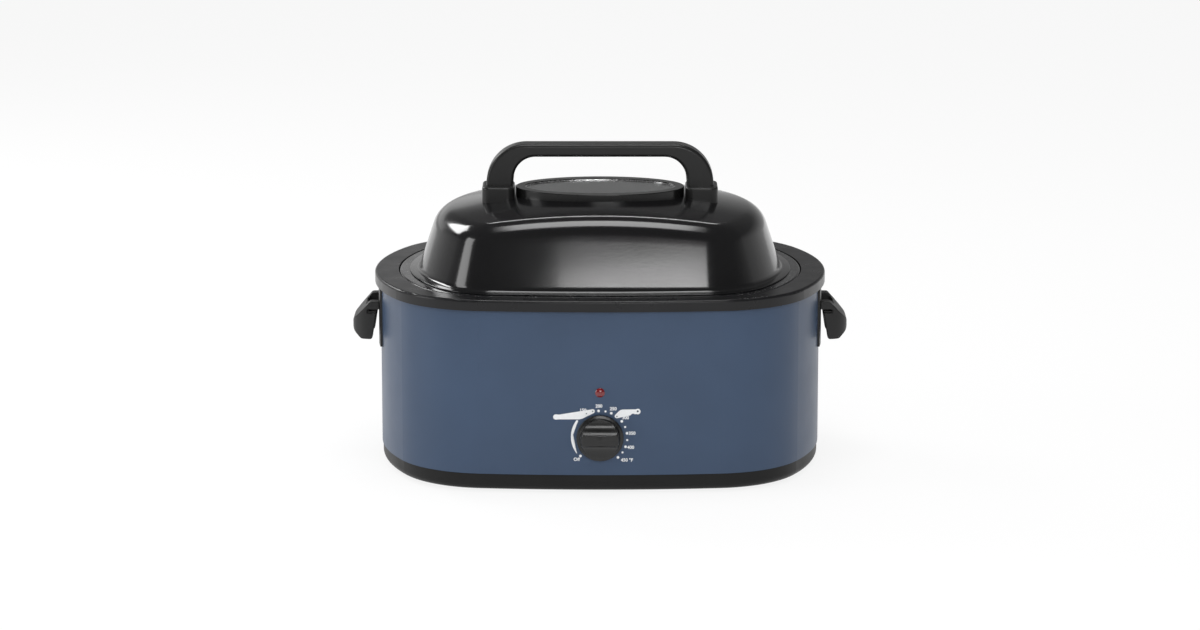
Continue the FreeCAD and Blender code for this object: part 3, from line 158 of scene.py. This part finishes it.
RIM = Oval(*RIM_OUTLINE)
SHELL = RIM.inset(RIM_OVERHANG)
LID = Oval(*LID_OUTLINE)


def front_y(x):
    """Y of the outside of the shell's front at a place along the length."""
    return -(SHELL.half_depth - SHELL.bow + math.sqrt(SHELL.bow ** 2 - x ** 2))


def new_piece(name, mesh, body, material, replaced=(), sharp=SHARP_EDGE_DEG):
    """Makes an object of a mesh, smooth but for its sharp edges, and puts it on its body."""
    for face in mesh.polygons:
        face.use_smooth = True
    if sharp:
        mesh.set_sharp_from_angle(angle=math.radians(sharp))
    mesh.materials.clear()
    mesh.materials.append(material)
    piece = bpy.data.objects.new(name, mesh)
    bpy.context.scene.collection.objects.link(piece)
    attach(piece, body)
    for node in replaced:
        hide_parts(node)


def grid_mesh(name, rings):
    """A closed mesh of rings of points in millimetres, each joined to the next and the last to the first."""
    bm = bmesh.new()
    rows = [[bm.verts.new(Vector(p) * MM) for p in ring] for ring in rings]
    count = len(rings)
    around = len(rings[0])
    for k in range(count):
        here, following = rows[k], rows[(k + 1) % count]
        for i in range(around):
            j = (i + 1) % around
            bm.faces.new((here[i], here[j], following[j], following[i]))
    bmesh.ops.recalc_face_normals(bm, faces=bm.faces)
    mesh = bpy.data.meshes.new(name)
    bm.to_mesh(mesh)
    bm.free()
    return mesh


def lid_surface(outline, low, top, crown, shoulder, mouth):
    """Rings over one side of the lid, from the foot of its wall over the shoulder and crown to the window.

    A ball rolls up inside the wall until it touches the crown's sphere. It gives the shoulder.
    """
    wall_steps, bend_steps, crown_steps = 8, 12, 12
    centre = Vector((0, 0, top - crown))
    columns = []
    for x, y, nx, ny in outline.samples():
        out = Vector((nx, ny, 0))
        foot = Vector((x, y, 0))

        def ball(z):
            inset = shoulder / math.cos(LID_DRAFT) + (z - low) * math.tan(LID_DRAFT)
            return foot - out * inset + Vector((0, 0, z))

        small, large = low, top
        for _ in range(40):
            middle = (small + large) / 2
            if (ball(middle) - centre).length < crown - shoulder:
                small = middle
            else:
                large = middle
        c = ball(small)
        wall_way = out * math.cos(LID_DRAFT) + Vector((0, 0, math.sin(LID_DRAFT)))
        crown_way = (c - centre).normalized()
        start = foot + Vector((0, 0, low))
        wall_top = c + wall_way * shoulder
        column = [start.lerp(wall_top, k / wall_steps) for k in range(wall_steps)]
        for k in range(bend_steps):
            column.append(c + wall_way.slerp(crown_way, k / bend_steps) * shoulder)
        inner = c + crown_way * shoulder
        angle = math.atan2(inner.y, inner.x)
        reach = 1 / math.sqrt((math.cos(angle) / mouth[0]) ** 2 + (math.sin(angle) / mouth[1]) ** 2)
        edge = Vector((reach * math.cos(angle), reach * math.sin(angle)))
        for k in range(crown_steps + 1):
            flat = Vector((inner.x, inner.y)).lerp(edge, k / crown_steps)
            height = top - crown + math.sqrt(crown ** 2 - flat.length_squared)
            column.append(Vector((flat.x, flat.y, height)))
        columns.append(column)
    return [[tuple(column[k]) for column in columns] for k in range(len(columns[0]))]


# Finishes


class Finish:
    """A node material built up in steps: colour drift, uneven gloss and surface grain."""

    def __init__(self, name, colour, rough, metallic=0.0):
        self.material = bpy.data.materials.new(name)
        self.material.use_nodes = True
        self.tree = self.material.node_tree
        self.nodes = self.tree.nodes
        self.shader = self.nodes["Principled BSDF"]
        self.colour = colour
        self.rough = rough
        self.set("Base Color", (*colour, 1))
        self.set("Roughness", rough)
        self.set("Metallic", metallic)
        self.place = self.nodes.new("ShaderNodeTexCoord").outputs["Object"]

    def set(self, socket, value):
        self.shader.inputs[socket].default_value = value
        return self

    def link(self, a, b):
        self.tree.links.new(a, b)

    def noise(self, size, detail=2.0, stretch=None):
        """Noise with features of a size in millimetres."""
        node = self.nodes.new("ShaderNodeTexNoise")
        node.inputs["Scale"].default_value = 1 / (size * MM)
        node.inputs["Detail"].default_value = detail
        place = self.place
        if stretch:
            mapping = self.nodes.new("ShaderNodeMapping")
            mapping.inputs["Scale"].default_value = stretch
            self.link(place, mapping.inputs["Vector"])
            place = mapping.outputs["Vector"]
        self.link(place, node.inputs["Vector"])
        return node.outputs["Fac"]

    def spread(self, value, low, high, start=0.3, stop=0.7):
        node = self.nodes.new("ShaderNodeMapRange")
        node.inputs["From Min"].default_value = start
        node.inputs["From Max"].default_value = stop
        node.inputs["To Min"].default_value = low
        node.inputs["To Max"].default_value = high
        self.link(value, node.inputs["Value"])
        return node.outputs["Result"]

    def mix(self, factor, first, second):
        node = self.nodes.new("ShaderNodeMix")
        node.data_type = "RGBA"
        for socket, value in (("A_Color", first), ("B_Color", second)):
            target = [s for s in node.inputs if s.identifier == socket][0]
            if isinstance(value, tuple):
                target.default_value = (*value, 1)
            else:
                self.link(value, target)
        self.link(factor, [s for s in node.inputs if s.identifier == "Factor_Float"][0])
        return [s for s in node.outputs if s.identifier == "Result_Color"][0]

    def drift(self, amount, size=60.0):
        """The colour wanders a little, lighter and darker."""
        dark = tuple(c * (1 - amount) for c in self.colour)
        light = tuple(min(1.0, c * (1 + amount)) for c in self.colour)
        self.painted = self.mix(self.spread(self.noise(size), 0, 1), dark, light)
        self.link(self.painted, self.shader.inputs["Base Color"])
        return self

    def specks(self, size, colour, share):
        """Fine spots of another colour."""
        spots = self.spread(self.noise(size, 0.0), 0, 1, 1 - share, 1 - share + 0.03)
        self.painted = self.mix(spots, self.painted, colour)
        self.link(self.painted, self.shader.inputs["Base Color"])
        return self

    def patches(self, spread, size=30.0, stretch=None):
        """The gloss is uneven."""
        low = max(0.02, self.rough - spread)
        uneven = self.spread(self.noise(size, 4.0, stretch), low, self.rough + spread)
        self.link(uneven, self.shader.inputs["Roughness"])
        return self

    def grain(self, size, strength, stretch=None, detail=3.0):
        """Fine relief."""
        bump = self.nodes.new("ShaderNodeBump")
        bump.inputs["Strength"].default_value = strength
        bump.inputs["Distance"].default_value = size * MM * 0.2
        self.link(self.noise(size, detail, stretch), bump.inputs["Height"])
        self.link(bump.outputs["Normal"], self.shader.inputs["Normal"])
        return self


def finishes():
    made = {}

    def add(slot, colour, rough, metallic=0.0):
        made[slot] = Finish(slot, colour, rough, metallic)
        return made[slot]

    add("shell_blue", (0.043, 0.071, 0.126), 0.36).drift(0.05, 90).patches(0.03, 50).grain(1.4, 0.06)
    add("rim_black", (0.010, 0.010, 0.011), 0.30).drift(0.12).patches(0.04).grain(1.6, 0.07)
    add("base_black", (0.012, 0.012, 0.012), 0.42).drift(0.12).patches(0.05).grain(0.6, 0.18)
    add("foot_rubber", (0.022, 0.022, 0.022), 0.75).drift(0.2).patches(0.08, 8).grain(0.5, 0.4)
    add("zinc_steel", (0.52, 0.53, 0.54), 0.34, 1.0).drift(0.10, 6).patches(0.08, 4).grain(0.4, 0.15)
    add("well_steel", (0.50, 0.50, 0.49), 0.38, 1.0).drift(0.10, 14).patches(0.09, 12).grain(0.8, 0.15)
    add("band_mica", (0.46, 0.38, 0.25), 0.55).drift(0.18, 6).patches(0.10, 5).grain(0.5, 0.4, (1, 1, 8))
    add("ceramic", (0.74, 0.71, 0.64), 0.24).drift(0.05, 12).patches(0.06, 8).grain(0.8, 0.1)
    add("glass_wool", (0.80, 0.76, 0.56), 0.95).drift(0.22, 4).grain(1.2, 1.0, (1, 1, 3), 6.0)
    add("shield_aluminium", (0.72, 0.73, 0.74), 0.32, 1.0).drift(0.06, 20).patches(0.08, 10)
    made["shield_aluminium"].grain(0.7, 0.2, (1, 12, 12))
    add("pan_enamel", (0.008, 0.008, 0.009), 0.16).drift(0.15).specks(1.1, (0.30, 0.30, 0.30), 0.24)
    made["pan_enamel"].patches(0.05).grain(2.0, 0.08)
    add("rack_chrome", (0.74, 0.74, 0.75), 0.10, 1.0).drift(0.04, 10).patches(0.05, 6).grain(0.8, 0.06)
    add("lid_enamel", (0.0065, 0.0065, 0.0070), 0.15).drift(0.12, 80).patches(0.025, 60).grain(3.0, 0.05)
    add("gasket_silicone", (0.03, 0.03, 0.03), 0.6).drift(0.1).patches(0.1, 6).grain(0.4, 0.3)
    add("ring_steel", (0.62, 0.62, 0.62), 0.26, 1.0).drift(0.06, 6).patches(0.06, 4)
    made["ring_steel"].grain(0.3, 0.2, (1, 10, 1))
    add("bezel_black", (0.008, 0.008, 0.008), 0.18).drift(0.1).patches(0.05, 20).grain(1.0, 0.05)
    add("handle_black", (0.011, 0.011, 0.011), 0.32).drift(0.12).patches(0.05, 20).grain(0.5, 0.12)
    add("grip_black", (0.014, 0.014, 0.014), 0.42).drift(0.12).patches(0.06, 12).grain(0.45, 0.25)
    add("knob_black", (0.009, 0.009, 0.009), 0.24).drift(0.12, 20).patches(0.04, 10).grain(0.4, 0.05)
    add("wire_sleeve", (0.80, 0.80, 0.77), 0.8).drift(0.08, 3).grain(0.35, 0.8, (1, 1, 2))
    lens = add("lens_red", (0.17, 0.006, 0.009), 0.16).drift(0.10, 4).patches(0.04, 3).grain(0.6, 0.04)
    lens.set("Coat Weight", 0.6).set("Coat Roughness", 0.06)
    glass = add("window_glass", (0.92, 0.95, 0.95), 0.02).drift(0.02, 60).patches(0.015, 40)
    glass.set("Transmission Weight", 1.0).set("IOR", 1.5)
    lamp = add("lamp_glass", (0.95, 0.75, 0.55), 0.05).drift(0.04, 3).patches(0.03, 3)
    lamp.set("Transmission Weight", 0.9).set("IOR", 1.5)
    made["lid_enamel"].set("Coat Weight", 0.25).set("Coat Roughness", 0.08)
    for slot, level in (("shell_blue", 0.30), ("rim_black", 0.30), ("base_black", 0.18),
                        ("handle_black", 0.32), ("grip_black", 0.35), ("bezel_black", 0.30),
                        ("knob_black", 0.45), ("foot_rubber", 0.2)):
        made[slot].set("Specular IOR Level", level)
    add("dial_ink", (0.80, 0.81, 0.82), 0.5).drift(0.03, 2).patches(0.08, 1.5).grain(0.3, 0.15)
    add("dial_ink_dark", (0.020, 0.035, 0.060), 0.5).drift(0.1, 2).patches(0.08, 1.5).grain(0.3, 0.1)
    return {slot: finish.material for slot, finish in made.items()}


MATERIAL = finishes()
for part in frame["record"]["subparts"]:
    node = frame["nodes"][part["node"]]
    for face_slot in range(len(node.material_slots)):
        node.material_slots[face_slot].material = MATERIAL[part["material_slot"]]


# Lid, drawn finer than the model and with a rolled foot


def lid():
    foot = LID_FOOT_RADIUS
    lip_steps, foot_steps = 8, 5
    outside = lid_surface(LID, LID_LOW, CROWN_TOP, CROWN_RADIUS, SHOULDER_RADIUS, LID_MOUTH)
    inside = lid_surface(LID.inset(LID_WALL), LID_LOW, CROWN_TOP - LID_WALL, CROWN_RADIUS - LID_WALL,
                         SHOULDER_RADIUS - LID_WALL, LID_MOUTH)
    lip = []
    for k in range(lip_steps + 1):
        angle = -math.pi / 2 + math.pi * k / lip_steps
        out = -LID_FLANGE + LID_WALL / 2 - LID_WALL / 2 * math.cos(angle)
        lip.append(LID.ring(out, LID_LOW + LID_WALL / 2 + LID_WALL / 2 * math.sin(angle)))
    bend = []
    for k in range(foot_steps + 1):
        angle = math.pi / 2 * k / foot_steps
        inset = -foot + foot * math.sin(angle)
        z = LID_LOW + LID_WALL + foot - foot * math.cos(angle)
        bend.append(LID.ring(inset + (z - LID_LOW) * math.tan(LID_DRAFT) * k / foot_steps, z))
    rings = lip + bend + outside[1:] + inside[::-1]
    new_piece("lid_skin", grid_mesh("lid_skin", rings), "lid", MATERIAL["lid_enamel"],
              ["lid_shell"])


def softened(node, body, slot, voxel):
    """A copy of a moulded CAD piece with its edges eased, as they come from a mould."""
    source = frame["nodes"][node]
    draft = bpy.data.objects.new(node + "_draft", source.data.copy())
    bpy.context.scene.collection.objects.link(draft)
    remesh = draft.modifiers.new("Remesh", "REMESH")
    remesh.mode = "VOXEL"
    remesh.voxel_size = voxel * MM
    remesh.adaptivity = 0
    smooth = draft.modifiers.new("Smooth", "SMOOTH")
    smooth.factor = EASING_SHARE
    smooth.iterations = EASING_PASSES
    graph = bpy.context.evaluated_depsgraph_get()
    mesh = bpy.data.meshes.new_from_object(draft.evaluated_get(graph))
    mesh.name = node + "_moulded"
    bpy.data.objects.remove(draft)
    new_piece(node + "_moulded", mesh, body, MATERIAL[slot], [node], sharp=0)


# Dial marks, printed on the shell's front. Places are (right, up) from the dial's middle, in millimetres

INK = 0.12
INK_BACK = 0.01
DIGIT_SHARE = 0.72
DIGIT_BOLDNESS = 0.15


def on_front(right, up, height):
    """A point of a mark, laid on the curved front."""
    return Vector((right, front_y(right) - height, DIAL_Z + up)) * MM


def plate_from(outline, height=INK):
    """A thin printed shape from its outline."""
    bm = bmesh.new()
    front = [bm.verts.new(on_front(x, z, height)) for x, z in outline]
    back = [bm.verts.new(on_front(x, z, INK_BACK)) for x, z in outline]
    bm.faces.new(front)
    bm.faces.new(back[::-1])
    count = len(outline)
    for i in range(count):
        j = (i + 1) % count
        bm.faces.new((front[i], back[i], back[j], front[j]))
    bmesh.ops.triangulate(bm, faces=[f for f in bm.faces if len(f.verts) > 4])
    bmesh.ops.recalc_face_normals(bm, faces=bm.faces)
    mesh = bpy.data.meshes.new("mark")
    bm.to_mesh(mesh)
    bm.free()
    return mesh


def round_spot(right, up, radius, steps=28):
    turn = 2 * math.pi / steps
    return [(right + radius * math.cos(k * turn), up + radius * math.sin(k * turn)) for k in range(steps)]


def stroke(points, widths, cap_steps=8):
    """Outline of a line drawn with a round pen of a changing width."""
    left, right = [], []
    last = len(points) - 1
    for k, (x, z) in enumerate(points):
        before = Vector(points[max(k - 1, 0)])
        after = Vector(points[min(k + 1, last)])
        way = (after - before).normalized()
        side = Vector((-way.y, way.x)) * (widths[k] / 2)
        left.append((x + side.x, z + side.y))
        right.append((x - side.x, z - side.y))

    def cap(k, sign):
        before = Vector(points[max(k - 1, 0)])
        after = Vector(points[min(k + 1, last)])
        heading = math.atan2(after.y - before.y, after.x - before.x) + (0 if sign > 0 else math.pi)
        half = widths[k] / 2
        middle = points[k]
        return [(middle[0] + half * math.cos(heading + math.pi / 2 - math.pi * s / cap_steps),
                 middle[1] + half * math.sin(heading + math.pi / 2 - math.pi * s / cap_steps))
                for s in range(1, cap_steps)]

    return left + cap(last, 1) + right[::-1] + cap(0, -1)


def arc_points(radius, first, last, steps):
    """Points round the dial. Angles are degrees clockwise from the top."""
    places = []
    for k in range(steps + 1):
        angle = math.radians(first + (last - first) * k / max(steps, 1))
        places.append((radius * math.sin(angle), radius * math.cos(angle)))
    return places


def lettering(words, height, right, up):
    """A number or a word as a thin raised mesh, laid on the front."""
    curve = bpy.data.curves.new("words", "FONT")
    curve.body = words
    curve.size = height * MM / DIGIT_SHARE
    curve.align_x = "CENTER"
    curve.align_y = "CENTER"
    curve.offset = DIGIT_BOLDNESS * MM
    curve.extrude = INK / 2 * MM
    curve.resolution_u = 4
    draft = bpy.data.objects.new("words", curve)
    bpy.context.scene.collection.objects.link(draft)
    graph = bpy.context.evaluated_depsgraph_get()
    mesh = bpy.data.meshes.new_from_object(draft.evaluated_get(graph))
    bpy.data.objects.remove(draft)
    for vertex in mesh.vertices:
        x, y, z = vertex.co / MM
        vertex.co = on_front(right + x, up + y, INK / 2 + z + INK_BACK)
    return mesh


DOT_RADIUS = 30.6
BIG_DOT = 1.55
SMALL_DOT = 1.2
DIGIT_HEIGHT = 3.7
SWEEP_RADIUS = 31.8
SWEEP_STEPS = 24
MARKS = [(-134.3, BIG_DOT), (-3.0, BIG_DOT), (11.6, SMALL_DOT), (24.3, BIG_DOT), (52.7, BIG_DOT),
         (66.9, SMALL_DOT), (81.0, BIG_DOT), (95.7, SMALL_DOT), (110.5, BIG_DOT), (124.4, SMALL_DOT),
         (138.7, BIG_DOT)]
LABELS = [("150", -19.0, 31.2), ("200", -1.2, 36.0), ("250", 14.8, 32.9), ("300", 28.6, 22.6),
          ("350", 35.9, 4.6), ("400", 34.4, -11.6), ("450 °F", 30.2, -26.2), ("Off", -26.2, -25.4)]
# Bare banners: places and pen widths, and the dark spots on them
LEFT_BANNER = [(-49.5, 23.4), (-46.0, 23.4), (-23.5, 23.4), (-20.8, 24.0), (-15.2, 27.5), (-8.2, 30.1)]
LEFT_WIDTHS = [6.0, 5.4, 5.2, 5.2, 4.6, 4.8]
RIGHT_BANNER = [(18.8, 24.4), (22.4, 28.4), (23.8, 29.4), (25.6, 29.7), (42.2, 29.7)]
RIGHT_WIDTHS = [4.8, 4.4, 4.6, 4.8, 5.0]
RIGHT_END = (42.2, 29.7, 3.2)
SPOTS = [(-15.2, 27.5, 0.75), (-8.2, 30.1, 0.75), (18.9, 24.1, 0.75), (42.2, 30.0, 1.1)]


def dial_marks():
    white = []
    for angle, radius in MARKS:
        (right, up), = arc_points(DOT_RADIUS, angle, angle, 0)
        white.append(plate_from(round_spot(right, up, radius)))
    sweep = arc_points(SWEEP_RADIUS, -54, -125, SWEEP_STEPS)
    taper = [2.5 - 1.9 * k / SWEEP_STEPS for k in range(SWEEP_STEPS + 1)]
    for line, widths in ((sweep, taper), (LEFT_BANNER, LEFT_WIDTHS), (RIGHT_BANNER, RIGHT_WIDTHS)):
        white.append(plate_from(stroke(line, widths)))
    white.append(plate_from(round_spot(*RIGHT_END), INK + 0.01))
    for words, right, up in LABELS:
        white.append(lettering(words, DIGIT_HEIGHT, right, up))
    dark = [plate_from(round_spot(*spot), INK + 0.05) for spot in SPOTS]
    for name, meshes, slot in (("dial_print", white, "dial_ink"), ("dial_print_dark", dark, "dial_ink_dark")):
        bm = bmesh.new()
        for mesh in meshes:
            bm.from_mesh(mesh)
        joined = bpy.data.meshes.new(name)
        bm.to_mesh(joined)
        bm.free()
        new_piece(name, joined, "housing", MATERIAL[slot])


lid()
softened("control_knob", "knob", "knob_black", KNOB_VOXEL)
for side in ("left", "right"):
    softened("side_handle_grip_" + side, "housing", "grip_black", GRIP_VOXEL)
dial_marks()


# Floor, light and camera


def any_of(tree, *rays):
    """One where any of these outputs of a Light Path is one."""
    paths = tree.nodes.new("ShaderNodeLightPath")
    found = paths.outputs[rays[0]]
    for ray in rays[1:]:
        larger = tree.nodes.new("ShaderNodeMath")
        larger.operation = "MAXIMUM"
        tree.links.new(found, larger.inputs[0])
        tree.links.new(paths.outputs[ray], larger.inputs[1])
        found = larger.outputs[0]
    return found


def floor():
    bpy.ops.mesh.primitive_plane_add(size=FLOOR_SIDE)
    plane = bpy.context.object
    plane.name = "floor"
    material = bpy.data.materials.new("floor_white")
    material.use_nodes = True
    tree = material.node_tree
    shader = tree.nodes["Principled BSDF"]
    shader.inputs["Base Color"].default_value = (0.90, 0.90, 0.90, 1)
    shader.inputs["Roughness"].default_value = 0.7
    shader.inputs["Specular IOR Level"].default_value = 0.1
    glow = tree.nodes.new("ShaderNodeEmission")
    glow.inputs["Strength"].default_value = 1.0
    seen = any_of(tree, "Is Camera Ray", "Is Transmission Ray", "Is Glossy Ray")
    share = tree.nodes.new("ShaderNodeMath")
    share.operation = "MULTIPLY"
    share.inputs[1].default_value = FLOOR_WHITE_SHARE
    tree.links.new(seen, share.inputs[0])
    blend = tree.nodes.new("ShaderNodeMixShader")
    tree.links.new(share.outputs[0], blend.inputs[0])
    tree.links.new(shader.outputs[0], blend.inputs[1])
    tree.links.new(glow.outputs[0], blend.inputs[2])
    tree.links.new(blend.outputs[0], tree.nodes["Material Output"].inputs["Surface"])
    plane.data.materials.append(material)


def world():
    """Plain room: even light for the object, white for the camera, and darker overhead in the gloss."""
    made = bpy.data.worlds.new("room")
    bpy.context.scene.world = made
    made.use_nodes = True
    tree = made.node_tree
    background = tree.nodes["Background"]
    place = tree.nodes.new("ShaderNodeTexCoord")
    parts = tree.nodes.new("ShaderNodeSeparateXYZ")
    tree.links.new(place.outputs["Generated"], parts.inputs[0])
    fall = tree.nodes.new("ShaderNodeMapRange")
    fall.inputs["From Min"].default_value = 0.02
    fall.inputs["From Max"].default_value = 0.30
    fall.inputs["To Min"].default_value = ROOM_AT_HORIZON
    fall.inputs["To Max"].default_value = ROOM_OVERHEAD
    tree.links.new(parts.outputs["Z"], fall.inputs["Value"])
    factor, first, second = 0, 2, 3
    lit = tree.nodes.new("ShaderNodeMix")
    lit.inputs[first].default_value = ROOM_LIGHT
    tree.links.new(any_of(tree, "Is Glossy Ray", "Is Transmission Ray"), lit.inputs[factor])
    tree.links.new(fall.outputs["Result"], lit.inputs[second])
    seen = tree.nodes.new("ShaderNodeMix")
    seen.inputs[second].default_value = 1.0
    tree.links.new(any_of(tree, "Is Camera Ray"), seen.inputs[factor])
    tree.links.new(lit.outputs[0], seen.inputs[first])
    tree.links.new(seen.outputs[0], background.inputs["Strength"])
    background.inputs["Color"].default_value = (1, 1, 1, 1)


def lamp(name, place, target, size, power):
    light = bpy.data.lights.new(name, "AREA")
    light.shape = "RECTANGLE"
    light.size, light.size_y = size
    light.energy = power
    holder = bpy.data.objects.new(name, light)
    holder.location = place
    holder.rotation_euler = (Vector(target) - Vector(place)).to_track_quat("-Z", "Y").to_euler()
    holder.visible_camera = False
    bpy.context.scene.collection.objects.link(holder)


def camera():
    data = bpy.data.cameras.new("camera")
    data.lens = CAMERA_LENS
    data.sensor_width = SENSOR_WIDTH
    holder = bpy.data.objects.new("camera", data)
    holder.location = CAMERA_PLACE
    holder.rotation_euler = (math.radians(CAMERA_TILT_DEG), 0, 0)
    bpy.context.scene.collection.objects.link(holder)
    bpy.context.scene.camera = holder


floor()
world()
lamp("left_strip", (-2.6, -0.6, 0.9), (0, 0, 0.2), (0.9, 1.6), 18)
lamp("left_back", (-1.8, 1.6, 1.6), (0, 0, 0.25), (1.0, 1.0), 26)
lamp("low_back_left", (-0.75, 1.5, 0.52), (-0.2, 0, 0.22), (1.1, 0.30), 0.35)
lamp("back_strip", (0.05, 1.5, 1.65), (0, 0, 0.3), (1.1, 0.12), 3.0)
lamp("front_window", (0.15, -1.36, 0.70), (0, -0.158, 0.24), (0.60, 0.26), 4.5)
lamp("above", (0, -0.2, 2.6), (0, 0, 0.2), (1.2, 1.2), 26)
camera()
bpy.context.scene.view_settings.view_transform = "Standard"
